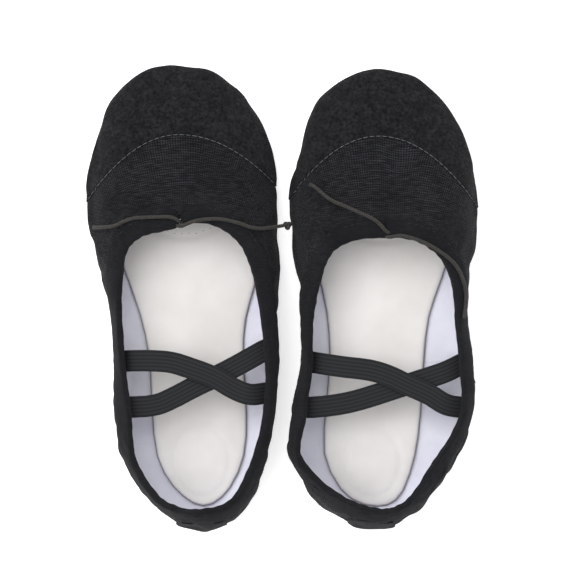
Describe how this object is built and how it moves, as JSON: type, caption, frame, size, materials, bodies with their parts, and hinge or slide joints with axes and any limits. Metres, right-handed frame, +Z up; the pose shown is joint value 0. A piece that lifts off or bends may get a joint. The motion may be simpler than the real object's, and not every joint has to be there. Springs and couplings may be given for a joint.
{
  "type": "ballet slippers",
  "caption": "Pair of black canvas split-sole ballet slippers with crossed elastics, a drawstring topline, toe caps and white insoles.",
  "frame": {"origin": "middle of the pair's box, on the floor that the soles rest on", "axes": "+Y towards the toes, +X to the right seen from above, +Z up"},
  "size_m": [0.1898, 0.2258, 0.0441],
  "materials": {
    "canvas": "matt plain-weave cotton canvas",
    "toe_cloth": "matt brushed cloth",
    "binding_tape": "matt folded cotton tape",
    "drawcord": "braided elastic cord",
    "ribbed_elastic": "ribbed woven elastic, slight sheen",
    "suede": "suede, flesh side out",
    "lining_cloth": "bluish white cotton",
    "insole_cover": "smooth off-white cloth on foam"
  },
  "bodies": {
    "left_slipper": {"left_forefoot_patch": "suede", "left_heel_patch": "suede", "left_sole_panel": "canvas", "left_insole": "insole_cover", "left_vamp": "canvas", "left_quarter_right": "canvas", "left_quarter_left": "canvas", "left_vamp_lining": "lining_cloth", "left_heel_lining": "lining_cloth", "left_toe_cap": "toe_cloth", "left_binding": "binding_tape", "left_drawstring": "drawcord", "left_back_stay": "binding_tape", "left_elastic_under": "ribbed_elastic", "left_elastic_over": "ribbed_elastic"},
    "right_slipper": {"right_forefoot_patch": "suede", "right_heel_patch": "suede", "right_sole_panel": "canvas", "right_insole": "insole_cover", "right_vamp": "canvas", "right_quarter_right": "canvas", "right_quarter_left": "canvas", "right_vamp_lining": "lining_cloth", "right_heel_lining": "lining_cloth", "right_toe_cap": "toe_cloth", "right_binding": "binding_tape", "right_drawstring": "drawcord", "right_back_stay": "binding_tape", "right_elastic_under": "ribbed_elastic", "right_elastic_over": "ribbed_elastic"},
    "left_end_1": {"left_drawstring_end_1": "drawcord"},
    "left_end_2": {"left_drawstring_end_2": "drawcord", "left_drawstring_knot": "drawcord"},
    "right_end_1": {"right_drawstring_end_1": "drawcord"},
    "right_end_2": {"right_drawstring_end_2": "drawcord"}
  },
  "joints": [
    {"name": "right_slipper_apart", "type": "slide", "parent": "left_slipper", "child": "right_slipper", "axis": [1, 0, 0], "range_m": [0, 0.12]},
    {"name": "left_end_1_lift", "type": "hinge", "parent": "left_slipper", "child": "left_end_1", "pos_m": [-0.048, 0.0366, 0.0302], "axis": [0, 1, 0], "range_deg": [0, 60]},
    {"name": "left_end_2_lift", "type": "hinge", "parent": "left_slipper", "child": "left_end_2", "pos_m": [-0.0524, 0.0361, 0.0302], "axis": [0, -1, 0], "range_deg": [0, 60]},
    {"name": "right_end_1_lift", "type": "hinge", "parent": "right_slipper", "child": "right_end_1", "pos_m": [0.0524, 0.0311, 0.0302], "axis": [0, 1, 0], "range_deg": [0, 40]},
    {"name": "right_end_2_lift", "type": "hinge", "parent": "right_slipper", "child": "right_end_2", "pos_m": [0.048, 0.0307, 0.0302], "axis": [0, -1, 0], "range_deg": [0, 60]}
  ]
}
